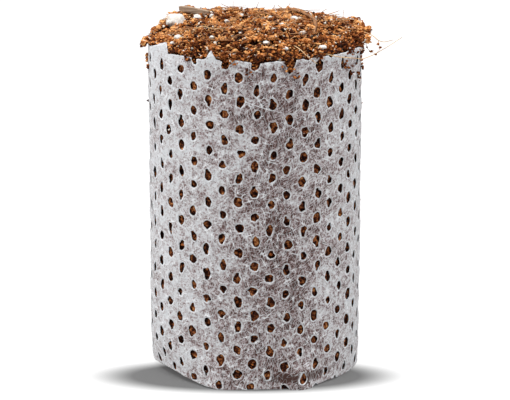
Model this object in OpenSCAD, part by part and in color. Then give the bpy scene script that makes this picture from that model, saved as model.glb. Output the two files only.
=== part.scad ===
// Paper pot: an open-ended sleeve of perforated nonwoven paper, lapped and sealed
// along one seam, filled with a pressed plug of coir and peat, and topped with
// loose crumbs that hold perlite granules, husk pieces and coir fibres.
// Millimetres, +Z up, origin at the centre of the base. The front faces -Y.

/* [Paper sleeve] */
// Outside diameter of the sleeve, away from the lapped seam
sleeve_d = 60; // [45:1:80]
// Height of the sleeve from the base to the cut rim
sleeve_h = 93; // [70:1:120]
// Thickness of one layer of the paper
paper_t = 0.2; // [0.1:0.05:0.4]
// Width of the lap where the strip's end is sealed over its start
lap_w = 9; // [5:0.5:14]
// Where the middle of the lap lies, in degrees round from the front
lap_at = 160; // [120:5:240]

/* [Perforations] */
// Diameter of one perforation
hole_d = 2.1; // [1.2:0.1:2.8]
// Columns of perforations round the sleeve, an even number
hole_columns = 42; // [36:2:48]
// Height from one perforation to the next in a column
row_pitch = 7; // [6:0.25:9]
// Height of the lowest perforation at the front
first_row_z = 0.7; // [0:0.1:3.4]
// Rows that the skewed pattern drops in one turn
rows_dropped = 1; // [0:1:2]
// Least paper between a perforation and a cut edge before it tears open
tear_bridge = 0.5; // [0.2:0.1:1]

/* [Growing medium] */
// Slack between the plug and the paper
plug_gap = 0.1; // [0.05:0.05:0.3]
// Depth of the plug's pressed top below the rim
plug_below_rim = 2; // [1:0.5:5]
// Height of the loose heap above the rim, before its crumbs
heap_h = 5.5; // [3:0.5:10]
// Height of the heap's edge above the rim
heap_edge_h = 1.2; // [0.8:0.1:2]
// Slack of the heap inside the sleeve, and of its crumbs over the cut rim
rim_gap = 0.2; // [0.1:0.05:0.5]
// Mean size of a loose crumb
crumb_d = 4.8; // [3:0.1:6]
// Loose crumbs over the heap
crumb_count = 120; // [60:10:140]
// Mean size of a clinging crumb
clinging_d = 2.2; // [1.5:0.1:3]

/* [Loose pieces in the heap] */
// Slack between a loose piece and the crumbs that carry it
bed_gap = 0.1; // [0.05:0.05:0.3]
// Places for small perlite granules over the heap
granule_count = 24; // [10:1:40]
// Mean size of a small perlite granule
granule_d = 1.4; // [1:0.1:2]
// Mean size of a middling perlite granule
middling_granule_d = 2.2; // [1.5:0.1:3]
// Size of the one large perlite granule
big_granule_d = 6.2; // [3.5:0.1:7]
// Length of the husk chip
chip_l = 8.5; // [5:0.5:12]
// Width of the husk chip
chip_w = 2.6; // [1.5:0.1:4]
// Thickness of the husk chip
chip_t = 1.4; // [0.6:0.1:2]
// Thickness of one coir fibre
fibre_d = 0.4; // [0.3:0.05:0.6]
// Width of the flat husk strip
strip_w = 1.6; // [1:0.1:2.5]
// Thickness of the flat husk strip
strip_t = 0.4; // [0.3:0.05:0.6]

/* [Hidden] */
$fn = 96;

sleeve_r = sleeve_d / 2;
bore_r = sleeve_r - paper_t;
plug_r = bore_r - plug_gap;
plug_top = sleeve_h - plug_below_rim;
heap_r = plug_r - rim_gap;
heap_foot = sleeve_h + rim_gap;

lap_angle = lap_w / sleeve_r * 180 / PI;
column_angle = 360 / hole_columns;
row_skew = -rows_dropped * row_pitch / hole_columns;
// A bore is cut from inside the paper to past both layers of the lap.
bore_depth = 4 * paper_t;

// Turn between neighbours of an evenly spread scatter.
golden_angle = 180 * (3 - sqrt(5));
golden_ratio = (1 + sqrt(5)) / 2;
// How steeply the heap falls to its edge.
heap_power = 5;
// The share of the heap's radius that holds bedded granules.
granule_share = 0.84;

// Loose pieces as [azimuth from the front, share of the heap's radius].
big_granule_at = [256, 0.78];
chip_at = [233, 0.74];
chip_turn = -12;
strip_route = [[162, 0.76], [105, 0.68], [45, 0.77]];
// Middling granules in the same way, then the share of their mean size.
middling_granules = [
    [-60, 0.83, 1], [-57, 0.92, 0.7], [-32, 0.76, 0.8], [-148, 0.28, 1.1], [142, 0.24, 0.7],
    [18, 0.88, 0.9], [93, 0.37, 1.1], [42, 0.94, 1.1], [98, 0.73, 0.8], [-112, 0.6, 1.2],
];
// Clinging crumbs as [azimuth from the front, depth below the rim in crumbs].
clinging_places = [
    [-86, 1.9], [-79, 2.6], [-4, 1.4], [22, 2], [54, 1.6],
    [61, 2.5], [67, 1.9], [72, 3.3], [77, 1.7], [83, 2.8],
];
// Fibres through places as [azimuth from the front, share of the sleeve's radius,
// height over the rim as a share of the heap's height].
fibre_routes = [
    [[32, 0.75, 0.65], [40, 0.99, 0.17], [58, 1.06, -0.25], [76, 1.09, -0.47],
     [80, 1.22, -0.11], [83, 1.38, 0.44]],
    [[94, 0.86, 0.7], [87, 1.08, 0.47], [84, 1.19, 0.16], [86, 1.29, 0.22]],
    [[24, 0.77, 0.7], [25, 0.92, 0.51], [28, 1.03, 0.1], [33, 1.03, -0.25]],
    [[94, 0.66, 0.8], [91, 0.8, 1.16], [90, 0.95, 1.2]],
    [[27, 0.48, 0.9], [61, 0.42, 1.3], [90, 0.45, 1.28]],
    [[-59, 0.72, 0.8], [-50, 0.66, 1.2], [-37, 0.61, 1.15], [-25, 0.55, 1.02]],
    [[-115, 0.86, 0.6], [-105, 0.91, 0.98], [-94, 0.92, 0.76]],
];
bow_steps = 10;
span_steps = 3;
heap_rings = 6;
// Numbers that the uneven lumps of each kind are counted from.
clinging_from = 60;
granules_from = 200;
middling_from = 240;
big_granule_number = 301;

// A repeatable fraction from 0 to 1 for the piece with this number.
function fraction(number) =
    let (wave = sin(number * 77.7 + 31) * 4375.8)
    wave - floor(wave);
function within(limits, number) =
    limits[0] + (limits[1] - limits[0]) * fraction(number);

// A plan point from an azimuth round from the front and a distance out.
function plan_point(azimuth, distance) =
    [distance * sin(azimuth), -distance * cos(azimuth)];

// Height of the smooth heap under its crumbs.
function heap_top(distance) =
    heap_foot + heap_h - (heap_h - heap_edge_h) * pow(min(distance / heap_r, 1), heap_power);

function on_heap(place, lift) =
    let (p = plan_point(place[0], place[1] * heap_r))
    [p.x, p.y, heap_top(norm(p)) + lift];

// The corners of an icosahedron, each moved in or out along its own ray.
icosahedron = [for (a = [-1, 1]) for (b = [-golden_ratio, golden_ratio])
    each [[0, a, b], [a, b, 0], [b, 0, a]] / norm([a, b])];
function lump_corners(size, number) =
    [for (k = [0 : len(icosahedron) - 1])
        icosahedron[k] * size / 2 * within(lump_jitter, len(icosahedron) * number + k)];

function crumb_size(k) = crumb_d * within(crumb_spread, k);
function crumb_centre(k) =
    on_heap([k * golden_angle + within([-crumb_stray_angle, crumb_stray_angle], k + 500),
             sqrt((k + 0.5) / crumb_count)],
            -crumb_sink_share * crumb_size(k));

// Height of a crumb over a point of the smooth heap, from those of its corners
// that lie under or beside a piece this wide there.
function crumb_height(k, point, half_w) =
    let (centre = crumb_centre(k),
         beside = half_w + crumb_size(k) / 4,
         tops = [for (corner = lump_corners(crumb_size(k), k))
             let (p = centre + corner)
             if (norm([p.x - point.x, p.y - point.y]) < beside) p.z - point.z])
    max([0, each tops]);

// A bow over the heap that starts, aims and ends at three places.
function heap_bow(places, lift) =
    let (plan = [for (place = places) plan_point(place[0], place[1] * heap_r)])
    [for (step = [0 : bow_steps])
        let (t = step / bow_steps,
             p = (1 - t) ^ 2 * plan[0] + 2 * t * (1 - t) * plan[1] + t ^ 2 * plan[2])
        [p.x, p.y, heap_top(norm(p)) + lift]];

// A smooth path through points: each span leaves and arrives along its neighbours.
function span_point(a, b, c, d, t) =
    b + (c - a) * t / 2 + (2 * a - 5 * b + 4 * c - d) * t ^ 2 / 2
    + (3 * b - a - 3 * c + d) * t ^ 3 / 2;
function smooth_path(points) =
    let (last = len(points) - 1)
    [for (k = [0 : last - 1]) for (step = [0 : span_steps - 1])
        span_point(points[max(k - 1, 0)], points[k], points[k + 1],
                   points[min(k + 2, last)], step / span_steps),
     points[last]];

// Sizes of a lump's corners and of the crumbs, as shares of their mean.
lump_jitter = [0.75, 1.1];
crumb_spread = [0.6, 1.5];
// The share of a crumb's size that its middle lies below the smooth heap.
crumb_sink_share = 0.15;
// How far a crumb strays from its even place, in degrees.
crumb_stray_angle = 5;

fibre_paths = [for (route = fibre_routes)
    smooth_path([for (place = route)
        [each plan_point(place[0], place[1] * sleeve_r), sleeve_h + place[2] * heap_h]])];
// The flat strip lies on the tallest crumb under it.
strip_ground = heap_bow(strip_route, 0);
strip_lift = max([for (p = strip_ground) for (k = [0 : crumb_count - 1])
    crumb_height(k, p, strip_w / 2)]) + bed_gap + strip_t / 2;
strip_path = heap_bow(strip_route, strip_lift);
// Shares of a granule's size that its middle lies over the smooth heap.
granule_rise = 0.35;
big_granule_rise = 0.1;
big_granule_centre = on_heap(big_granule_at, big_granule_d * big_granule_rise);
// The chip lies level on the tallest crumb under it.
chip_plan = plan_point(chip_at[0], chip_at[1] * heap_r);
chip_ground = [for (share = [-0.5 : 0.25 : 0.5])
    let (p = chip_plan + share * chip_l * [cos(chip_turn), sin(chip_turn)])
    [p.x, p.y, heap_top(norm(p))]];
chip_seat = max([for (p = chip_ground) for (k = [0 : crumb_count - 1])
    p.z + crumb_height(k, p, chip_w / 2)]);
chip_centre = [chip_plan.x, chip_plan.y, chip_seat + bed_gap + chip_t / 2];

// Points and reaches that a small granule has to stay clear of.
obstacles = [
    for (path = fibre_paths) for (p = path) [p, fibre_d],
    for (p = strip_path) [p, strip_w],
    for (k = [0 : len(middling_granules) - 1]) [middling_centre(k), middling_size(k) * 0.7],
    [big_granule_centre, big_granule_d * 0.7],
    [chip_centre, chip_l * 0.7],
];

function middling_size(k) = middling_granule_d * middling_granules[k][2];
function middling_centre(k) = on_heap(middling_granules[k], middling_size(k) * granule_rise);
function granule_size(k) = granule_d * (0.6 + 0.8 * fraction(k + 400));
function granule_centre(k) =
    on_heap([k * golden_angle, granule_share * sqrt((k + 0.5) / granule_count)],
            granule_size(k) * granule_rise);
function granule_is_clear(k) =
    min([for (o = obstacles) norm(granule_centre(k) - o[0]) - o[1]]) > granule_size(k) * 0.7;
clear_granules = [for (k = [0 : granule_count - 1]) if (granule_is_clear(k)) k];

// One wrap of the strip, with a second layer where its end laps over its start.
module paper_sleeve() {
    color("gainsboro")
    difference() {
        union() {
            cylinder(r = sleeve_r, h = sleeve_h);
            intersection() {
                cylinder(r = sleeve_r + paper_t, h = sleeve_h);
                lap_wedge();
            }
        }
        translate([0, 0, -paper_t])
            cylinder(r = bore_r, h = sleeve_h + 2 * paper_t);
        for (column = [0 : hole_columns - 1])
            rotate(column * column_angle - 90)
                for (z = [column_start(column) : row_pitch : sleeve_h + hole_d / 2])
                    perforation(z);
    }
}

// The sector of the sleeve that the lap covers, reaching well past the paper.
module lap_wedge() {
    reach = 2 * sleeve_r;
    side = reach * sin(lap_angle / 2);
    out = reach * cos(lap_angle / 2);
    rotate(lap_at - 90)
        linear_extrude(sleeve_h)
            polygon([[0, 0], [out, -side], [out, side]]);
}

// Lowest perforation of a column: every second column is half a row higher, and
// the whole pattern drops steadily round the sleeve.
function column_start(column) =
    let (turn = column < hole_columns / 2 ? column : column - hole_columns,
         z = first_row_z + (column % 2) * row_pitch / 2 + row_skew * turn)
    z - floor((z + hole_d / 2) / row_pitch) * row_pitch;

// A radial bore, torn open to a cut edge that it comes too near.
module perforation(z) {
    translate([bore_r - paper_t, 0, z])
        rotate([0, 90, 0])
            cylinder(d = hole_d, h = bore_depth);
    if (z > sleeve_h - hole_d / 2 - tear_bridge)
        tear(min(z, sleeve_h - hole_d), sleeve_h + hole_d);
    if (z < hole_d / 2 + tear_bridge)
        tear(-hole_d, max(z, hole_d));
}

module tear(from_z, to_z) {
    translate([bore_r - paper_t, -hole_d / 4, from_z])
        cube([bore_depth, hole_d / 2, to_z - from_z]);
}

// The pressed plug that fills the sleeve and stands on the base.
module growing_medium() {
    color("saddlebrown")
    cylinder(r = plug_r, h = plug_top);
}

// An irregular lump, as the hull of its corners.
module lump(size, number) {
    corners = lump_corners(size, number);
    hull()
        polyhedron(points = corners, faces = [[for (k = [0 : len(corners) - 1]) k]]);
}

// Loose crumbs piled on the plug and over the rim, with a bed for each piece.
module crumb_heap() {
    color("peru")
    difference() {
        union() {
            rotate_extrude($fn = 36)
                polygon([[0, plug_top - crumb_d / 2],
                         for (step = [0 : heap_rings])
                             let (r = heap_r * sqrt(step / heap_rings)) [r, heap_top(r)],
                         [heap_r, plug_top - crumb_d / 2]]);
            for (k = [0 : crumb_count - 1])
                translate(crumb_centre(k))
                    lump(crumb_size(k), k);
        }
        rim_clearance();
        granule_beds();
        coir_fibres(bed_gap);
    }
}

// Everything outside the plug's radius up to just above the rim, and the plug.
module rim_clearance() {
    reach = heap_r + crumb_d;
    translate([0, 0, plug_top - crumb_d])
        cylinder(r = reach, h = crumb_d);
    difference() {
        cylinder(r = reach, h = heap_foot);
        cylinder(r = plug_r, h = heap_foot + rim_gap);
    }
}

// A bed for each granule, open above it so that the granule shows.
module granule_beds() {
    for (k = clear_granules)
        hull() {
            small_granule(k, bed_gap);
            translate([0, 0, crumb_d])
                small_granule(k, bed_gap);
        }
    for (k = [0 : len(middling_granules) - 1])
        hull() {
            middling_granule(k, bed_gap);
            translate([0, 0, crumb_d])
                middling_granule(k, bed_gap);
        }
    hull() {
        big_granule(bed_gap);
        translate([0, 0, crumb_d])
            big_granule(bed_gap);
    }
}

// Crumbs stuck to the paper below the rim, each hollowed to the paper's curve.
module clinging_crumbs() {
    color("sienna")
    difference() {
        for (k = [0 : len(clinging_places) - 1])
            rotate(clinging_places[k][0] - 90)
                translate([sleeve_r + clinging_size(k) * 0.25, 0,
                           sleeve_h - clinging_d * clinging_places[k][1]])
                    lump(clinging_size(k), k + clinging_from);
        cylinder(r = sleeve_r + bed_gap, h = sleeve_h + rim_gap);
    }
}

function clinging_size(k) = clinging_d * (0.7 + 0.6 * fraction(k + 70));

module perlite_granules() {
    color("white") {
        for (k = clear_granules)
            small_granule(k, 0);
        for (k = [0 : len(middling_granules) - 1])
            middling_granule(k, 0);
        big_granule(0);
    }
}

module small_granule(k, gap) {
    translate(granule_centre(k))
        lump(granule_size(k) + 2 * gap, k + granules_from);
}

module middling_granule(k, gap) {
    translate(middling_centre(k))
        lump(middling_size(k) + 2 * gap, k + middling_from);
}

module big_granule(gap) {
    translate(big_granule_centre)
        scale([1.08, 1, 0.86])
            lump(big_granule_d + 2 * gap, big_granule_number);
}

// A split sliver of husk: a flat bar, pointed at one end and broken at the other.
module husk_chip() {
    color("tan")
    translate(chip_centre)
        rotate(chip_turn)
            translate([0, 0, -chip_t / 2])
                linear_extrude(chip_t)
                    polygon([[-chip_l / 2, -chip_w * 0.2],
                             [-chip_l * 0.3, -chip_w / 2],
                             [chip_l * 0.44, -chip_w * 0.44],
                             [chip_l / 2, chip_w * 0.1],
                             [chip_l * 0.4, chip_w / 2],
                             [-chip_l * 0.36, chip_w * 0.4]]);
}

// A flat ribbon of husk that lies in a bow over the crumbs.
module husk_strip() {
    w = strip_w / 2;
    t = strip_t / 2;
    color("burlywood")
    sweep(strip_path, [[-w, -t], [w, -t], [w, t], [-w, t]], 0);
}

// Single fibres, lying on the crumbs or standing out past the rim.
module coir_fibres(gap = 0) {
    sides = 6;
    section = [for (k = [0 : sides - 1])
        (fibre_d / 2 + gap) * [cos(360 * k / sides), sin(360 * k / sides)]];
    color("goldenrod")
    for (path = fibre_paths)
        sweep(path, section, gap);
}

function path_way(path, k) =
    let (step = path[min(k + 1, len(path) - 1)] - path[max(k - 1, 0)])
    step / norm(step);

// A section's corners at one point of a path, with its width lying level.
function section_at(path, section, k) =
    let (way = path_way(path, k),
         level = cross(way, [0, 0, 1]) / norm(cross(way, [0, 0, 1])),
         up = cross(level, way))
    [for (corner = section) path[k] + corner.x * level + corner.y * up];

// A section carried along a path, from the gap before its start to past its end.
module sweep(path, section, gap) {
    sides = len(section);
    steps = len(path) - 1;
    last = steps * sides;
    route = [path[0] - gap * path_way(path, 0), for (k = [1 : steps - 1]) path[k],
             path[steps] + gap * path_way(path, steps)];
    polyhedron(
        points = [for (k = [0 : steps]) each section_at(route, section, k)],
        faces = [
            for (k = [1 : sides - 2]) [0, k + 1, k],
            for (k = [1 : sides - 2]) [last, last + k, last + k + 1],
            for (ring = [0 : steps - 1]) for (k = [0 : sides - 1])
                let (a = ring * sides + k, b = ring * sides + (k + 1) % sides)
                each [[a, b, a + sides], [b, b + sides, a + sides]],
        ]);
}

paper_sleeve();
growing_medium();
crumb_heap();
clinging_crumbs();
perlite_granules();
husk_chip();
husk_strip();
coir_fibres();
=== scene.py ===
# %% [markdown]
# # A paper pot, piece by piece
# The pot is a short tube of thin perforated paper, cut from a long filled sausage of
# growing medium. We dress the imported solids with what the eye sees: fibrous paper,
# torn little holes, damp crumbs, white perlite and loose coir. Everything is in
# metres, and the front of the pot faces -Y.

# %% Load the frame
import math
import random

import bmesh
import bpy
from mathutils import Matrix, Vector, noise


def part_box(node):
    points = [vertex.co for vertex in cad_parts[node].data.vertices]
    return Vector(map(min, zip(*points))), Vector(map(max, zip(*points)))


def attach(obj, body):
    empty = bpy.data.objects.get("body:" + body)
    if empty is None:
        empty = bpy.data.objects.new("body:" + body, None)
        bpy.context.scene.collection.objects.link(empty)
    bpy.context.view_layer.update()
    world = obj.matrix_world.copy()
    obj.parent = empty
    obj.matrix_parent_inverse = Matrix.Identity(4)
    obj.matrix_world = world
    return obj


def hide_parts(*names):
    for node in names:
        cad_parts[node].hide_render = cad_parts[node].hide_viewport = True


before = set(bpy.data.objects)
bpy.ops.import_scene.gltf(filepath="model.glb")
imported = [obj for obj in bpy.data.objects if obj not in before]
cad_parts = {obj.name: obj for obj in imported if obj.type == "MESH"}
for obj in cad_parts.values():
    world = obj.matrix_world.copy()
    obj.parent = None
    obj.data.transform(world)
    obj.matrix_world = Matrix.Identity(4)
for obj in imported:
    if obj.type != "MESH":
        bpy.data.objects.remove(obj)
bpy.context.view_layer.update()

MM = 0.001
sleeve_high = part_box("paper_sleeve")[1]
sleeve_r = sleeve_high.x
sleeve_h = sleeve_high.z
print(f"sleeve {2 * sleeve_r / MM:.1f} mm across, {sleeve_h / MM:.1f} mm tall")

# %% [markdown]
# ## The camera
# A long lens from a little above, as in a product photo. The distance, the tilt and
# the focal length were worked out from the way the rows of holes close up towards the
# sides of the sleeve, so here they are plain numbers.

# %% Camera
IMAGE_W = 510
FOCAL_PX = 2215
CAMERA_DISTANCE = 634 * MM
CAMERA_TILT = math.radians(13.81)
AIM_HEIGHT = 47.4 * MM
SENSOR_W = 36

camera_data = bpy.data.cameras.new("camera")
camera_data.sensor_fit = "HORIZONTAL"
camera_data.sensor_width = SENSOR_W
camera_data.lens = FOCAL_PX * SENSOR_W / IMAGE_W
camera = bpy.data.objects.new("camera", camera_data)
bpy.context.collection.objects.link(camera)
back = Vector((0, -math.cos(CAMERA_TILT), math.sin(CAMERA_TILT)))
camera.location = Vector((0, 0, AIM_HEIGHT)) + back * CAMERA_DISTANCE
camera.rotation_euler = (-back).to_track_quat("-Z", "Y").to_euler()
bpy.context.scene.camera = camera
bpy.context.scene.view_settings.view_transform = "Standard"
print(f"camera {CAMERA_DISTANCE / MM:.0f} mm away with a {camera_data.lens:.0f} mm lens")

# %% [markdown]
# ## Small helpers for materials
# A material here is a handful of nodes round one Principled shader. We could click them
# together in the node editor, but helpers keep each finish down to some ten lines. The
# first ones start a material and add a node, whose inputs are linked or set.

# %% Starting a material
def new_material(name):
    material = bpy.data.materials.new(name)
    material.use_nodes = True
    tree = material.node_tree
    return material, tree, tree.nodes["Principled BSDF"]


def plug_in(tree, socket, value):
    """Links an output to a socket, or sets the socket's own number or colour."""
    if hasattr(value, "is_output"):
        tree.links.new(value, socket)
    elif isinstance(value, tuple):
        socket.default_value = (*value, 1)
    else:
        socket.default_value = value


def add_node(tree, kind, output, inputs, **settings):
    """Adds a node with its settings and inputs, and gives back one of its outputs."""
    node = tree.nodes.new("ShaderNode" + kind)
    for key, value in settings.items():
        setattr(node, key, value)
    for key, value in inputs.items():
        plug_in(tree, node.inputs[key], value)
    return node.outputs[output]


def coordinates(tree, kind):
    return add_node(tree, "TexCoord", kind, {})


def attribute(tree, name):
    return add_node(tree, "Attribute", "Fac", {}, attribute_name=name)


print("helpers: new_material, plug_in, add_node, coordinates, attribute")

# %% [markdown]
# Paper, crumbs and husk are all grainy, so one noise texture serves them all. Stretched
# grain gives fibres. The Mapping node is set to Texture, because only then does it turn
# the coordinates before it stretches them.

# %% Grain
def grain_texture(tree, coords, scale, detail=3, roughness=0.6, distortion=0):
    inputs = {"Vector": coords, "Scale": scale, "Detail": detail, "Roughness": roughness,
              "Distortion": distortion}
    return add_node(tree, "TexNoise", "Fac", inputs)


def stretched(tree, coords, scale, turn=0, shift=0):
    inputs = {"Vector": coords, "Location": [shift, shift, 0], "Rotation": [0, 0, turn],
              "Scale": [1 / number for number in scale]}
    return add_node(tree, "Mapping", "Vector", inputs, vector_type="TEXTURE")


def soft_mask(tree, value, low, high):
    """0 below the low limit, 1 above the high one, or the other way round."""
    inputs = {"Value": value, "From Min": low, "From Max": high}
    return add_node(tree, "MapRange", "Result", inputs, interpolation_type="SMOOTHSTEP")


print("helpers: grain_texture, stretched, soft_mask")

# %% [markdown]
# Grains are added up, turned into a row of colours, and end in the shader as its colour
# and as a bump.

# %% Sums and colours
def sums(tree, operation, a, b):
    return add_node(tree, "Math", "Value", {0: a, 1: b}, operation=operation)


def blend(tree, shares, *values):
    """Adds up values, each times its share."""
    total = None
    for share, value in zip(shares, values):
        term = sums(tree, "MULTIPLY", value, share)
        total = term if total is None else sums(tree, "ADD", total, term)
    return total


def colours(tree, value, *stops):
    node = tree.nodes.new("ShaderNodeValToRGB")
    tree.links.new(value, node.inputs["Fac"])
    steps = node.color_ramp.elements
    while len(steps) < len(stops):
        steps.new(1)
    for step, (place, colour) in zip(steps, stops):
        step.position = place
        step.color = (*colour, 1)
    return node.outputs["Color"]


def mix_colour(tree, factor, a, b):
    return add_node(tree, "Mix", 2, {0: factor, 6: a, 7: b}, data_type="RGBA")


def finish_shader(tree, shader, colour, roughness, height, distance, gloss=0.5):
    """Gives a shader its colour, its roughness, its gloss and a bump from a height texture."""
    plug_in(tree, shader.inputs["Base Color"], colour)
    shader.inputs["Roughness"].default_value = roughness
    shader.inputs["Specular IOR Level"].default_value = gloss
    normal = add_node(tree, "Bump", "Normal", {"Height": height, "Distance": distance})
    tree.links.new(normal, shader.inputs["Normal"])


print("helpers: sums, blend, colours, mix_colour, finish_shader")

# %% [markdown]
# ## Turning a mesh into a piece of the pot
# Each piece is one object at the origin with its place in its mesh. It rides on the
# pot's only body and hides the solid that it stands for.

# %% Piece helpers
def enter(piece, nodes):
    bpy.context.collection.objects.link(piece)
    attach(piece, "root")
    if nodes:
        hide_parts(*nodes)


def new_object(name, bm, material, smooth):
    mesh = bpy.data.meshes.new(name)
    for face in bm.faces:
        face.smooth = smooth
    bm.to_mesh(mesh)
    bm.free()
    mesh.materials.append(material)
    print(f"{name}: {len(mesh.vertices)} vertices, {len(mesh.polygons)} faces")
    return bpy.data.objects.new(name, mesh)


def make_piece(name, bm, material, slot, *nodes, smooth=True):
    piece = new_object(name, bm, material, smooth)
    enter(piece, nodes)
    return piece


print("helpers: enter, new_object, make_piece")

# %% [markdown]
# The pot is round, so places are given as degrees round from the front, a radius and a
# height. Nothing on it is quite even: smooth noise makes it wavy or lumpy everywhere,
# and bells put a bump where the real pot has one.

# %% Places, waves and bumps
def round_pot(degrees, radius, height):
    turn = math.radians(degrees)
    return Vector((radius * math.sin(turn), -radius * math.cos(turn), height))


def degrees_of(point):
    return math.degrees(math.atan2(point.x, -point.y))


def wave(point, size, seed):
    """Smooth noise from -1 to 1 whose lumps are about this size."""
    return noise.noise(Vector(point) / size + Vector((seed * 7.3, seed * 3.1, seed * 5.7)))


def waves(point, *layers):
    """Adds up noise in layers of a strength, a size of lumps and a seed."""
    return sum(strength * wave(point, size, seed) for strength, size, seed in layers)


def bell(value, middle, width):
    return math.exp(-((value - middle) / width) ** 2)


def bumps(degrees, rows):
    """Adds up bells round the pot, each a size, a middle and a spread in degrees."""
    return sum(size * bell(degrees, middle, spread) for size, middle, spread in rows)


def clamp(value):
    return max(0, min(1, value))


print("a quarter turn to the right:", [round(number, 3) for number in round_pot(90, 1, 0)])

# %% [markdown]
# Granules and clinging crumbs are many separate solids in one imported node. Their meshes
# come as loose triangles, so a copy is merged, and each island of joined points is one
# solid, whose middle and width we keep.

# %% Loose solids of a node
def loose_bits(node):
    bm = bmesh.new()
    bm.from_mesh(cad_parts[node].data)
    bmesh.ops.remove_doubles(bm, verts=bm.verts, dist=0.01 * MM)
    unseen, bits = set(bm.verts), []
    while unseen:
        reached = [unseen.pop()]
        for vert in reached:
            near = {edge.other_vert(vert) for edge in vert.link_edges} & unseen
            unseen -= near
            reached += near
        low = Vector([min(vert.co[axis] for vert in reached) for axis in range(3)])
        high = Vector([max(vert.co[axis] for vert in reached) for axis in range(3)])
        bits.append(((low + high) / 2, max(high - low)))
    bm.free()
    return sorted(bits, key=lambda bit: degrees_of(bit[0]))


granule_bits = loose_bits("perlite_granules")
crumb_bits = loose_bits("clinging_crumbs")
print(f"{len(granule_bits)} granules and {len(crumb_bits)} clinging crumbs are packed")

# %% [markdown]
# ## The perforated strip, laid flat
# A machine pricks the pot's paper as an endless web with staggered holes, so we start
# flat too. One grid has a small block of faces for every place of the pattern, and
# every second block loses its middle. The pattern drops a whole row in one turn, which
# is why the grid is sheared, and the web is then cut straight through the holes.

# %% Strip sizes
COLUMNS = 42
ROW_STEP = 3.5 * MM
FIRST_ROW = 0.97 * MM
LAP_COLUMNS = 2
FIRST_COLUMN = -24
BLOCK = 6
PAPER_T = 0.2 * MM

column_angle = 360 / COLUMNS
column_w = math.tau * sleeve_r / COLUMNS
drop_per_column = 2 * ROW_STEP / COLUMNS
strip_columns = COLUMNS + LAP_COLUMNS
spare = drop_per_column * strip_columns
first_band = -math.ceil(spare / ROW_STEP)
strip_bands = math.ceil((sleeve_h + spare) / ROW_STEP) - first_band + 1
print(f"strip of {strip_columns} columns and {strip_bands} bands of blocks")

# %% [markdown]
# No web runs true: the prick roller has slipped by a millimetre beside the front
# column, and the columns lean a little to the right as they climb. The same function
# places every grid point, so the paper carries its pattern along.

# %% From grid places to paper
SLIP = 0.94 * MM
SLIP_COLUMN = 1.5
SLIP_RECOVERY = 0.08 * MM
LEAN = 0.0124
UPRIGHT_AT = 0.58


def flat_place(across, up):
    """Where a grid place lies on the strip, as arc length from the front and height."""
    column = across / BLOCK - 0.5 + FIRST_COLUMN
    band = up / BLOCK - 0.5 + first_band
    slipped = clamp(column - SLIP_COLUMN + 0.5)
    recovered = min(SLIP, SLIP_RECOVERY * max(0, column - SLIP_COLUMN))
    height = FIRST_ROW + band * ROW_STEP - column * drop_per_column - SLIP * slipped + recovered
    lean = LEAN * (height - sleeve_h * UPRIGHT_AT)
    return Vector((column * column_w + lean, height))


print(f"the columns lean {LEAN * sleeve_h / MM:.1f} mm from the foot to the rim")

# %% [markdown]
# Every second block holds a hole, in a chequer. Only at the left of the rim are some
# left out, because a whole flap of paper stands there.

# %% Blocks with a hole
UNPIERCED = range(-11, -5)
UNPIERCED_DEPTH = 3 * MM


def block_of(across, up):
    """The block that a grid place lies in, and where it lies from the block's middle."""
    column, band = math.floor(across / BLOCK), math.floor(up / BLOCK)
    return column, band, across - (column + 0.5) * BLOCK, up - (band + 0.5) * BLOCK


def middle_of(column, band):
    return flat_place((column + 0.5) * BLOCK, (band + 0.5) * BLOCK)


def is_hole(column, band):
    place = column + FIRST_COLUMN
    at_flap = place in UNPIERCED and middle_of(column, band).y > sleeve_h - UNPIERCED_DEPTH
    return (place + band + first_band) % 2 == 0 and not at_flap


hole_blocks = [(column, band) for column in range(strip_columns) for band in range(strip_bands)
               if is_hole(column, band)]
print(f"{len(hole_blocks)} blocks of the web have a hole")

# %% [markdown]
# A hole that comes near the cut rim tears open, so those lose the faces above them too.
# At the left the rim has no holes, but one slit, beside which a flap of paper stands up.

# %% Flat grid with its holes
TEAR_REACH = 2.35 * MM
SLIT_AT = 109.5
SLIT_DEPTH = 3.2 * MM


def is_torn(column, band):
    above_rim = middle_of(column, band).y - sleeve_h
    return is_hole(column, band) and -TEAR_REACH < above_rim < ROW_STEP / 2


def is_open(face):
    centre = face.calc_center_median()
    if centre.x == SLIT_AT and flat_place(centre.x, centre.y).y > sleeve_h - SLIT_DEPTH:
        return True
    column, band, x, y = block_of(centre.x, centre.y)
    if abs(x) > 1:
        return False
    if is_hole(column, band):
        return abs(y) < 2 or (y > 0 and is_torn(column, band))
    return is_torn(column, band - 1)


def flat_grid():
    bm = bmesh.new()
    across, up = strip_columns * BLOCK, strip_bands * BLOCK
    spread = Matrix.Diagonal((across / 2, up / 2, 1, 1))
    place = Matrix.Translation((across / 2, up / 2, 0)) @ spread
    bmesh.ops.create_grid(bm, x_segments=across, y_segments=up, size=1, matrix=place)
    bmesh.ops.delete(bm, geom=[face for face in bm.faces if is_open(face)], context="FACES")
    return bm


strip = flat_grid()
print(f"flat strip: {len(strip.faces)} faces after punching")

# %% [markdown]
# ## Holes that were torn, not drilled
# The pins push through loose fibre, so no two holes match: they are drops, pears and
# slits, with a lip of raised fibre. A hole could be a boolean cut with a lumpy cutter,
# but moving the rim points of each block on to an uneven oval keeps the faces tidy.

# %% Character of one hole
HOLE_HALF_W = 1.3 * MM
HOLE_HALF_H = 1.55 * MM
RIM_POINTS = 12
RIM_STEP = 360 / RIM_POINTS
TEAR_SPREAD = {2: 0.5, 0: 0.3, -2: 0.7, -4: -0.4}


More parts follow.
